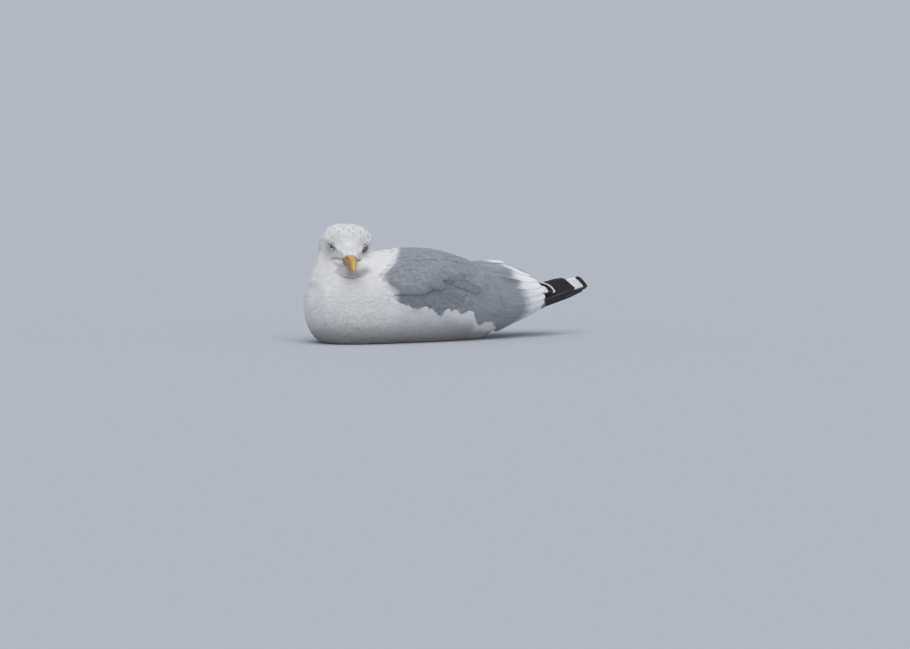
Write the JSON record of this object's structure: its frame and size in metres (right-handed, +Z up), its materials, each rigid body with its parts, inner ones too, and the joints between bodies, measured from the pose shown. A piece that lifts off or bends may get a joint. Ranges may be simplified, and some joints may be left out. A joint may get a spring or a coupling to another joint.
{
  "type": "herring gull",
  "caption": "Adult grey-backed gull resting on its belly, wings folded over the back, head turned to its left to look outwards.",
  "frame": {"origin": "on the floor under the middle of the trunk, at the centre of the belly's flat", "axes": "+X towards the tail and wing tips, the bird faces -X; -Y is its left side; +Z up"},
  "size_m": [0.4483, 0.1622, 0.1671],
  "materials": {
    "white_feathers": "soft matt plumage",
    "grey_feathers": "smooth matt plumage",
    "black_feathers": "slightly glossy stiff feather",
    "bill": "satin horn",
    "eye": "wet and glossy",
    "foot_skin": "scaly skin"
  },
  "bodies": {
    "root": {"head": "white_feathers", "neck": "white_feathers", "trunk": "white_feathers", "tail": "white_feathers", "wing_left": "grey_feathers", "wing_right": "grey_feathers", "primaries_left": "black_feathers", "primaries_right": "black_feathers", "bill_upper": "bill", "bill_lower": "bill", "eye_left": "eye", "eye_right": "eye", "leg_left": "foot_skin", "leg_right": "foot_skin", "foot_left": "foot_skin", "foot_right": "foot_skin"}
  },
  "joints": []
}
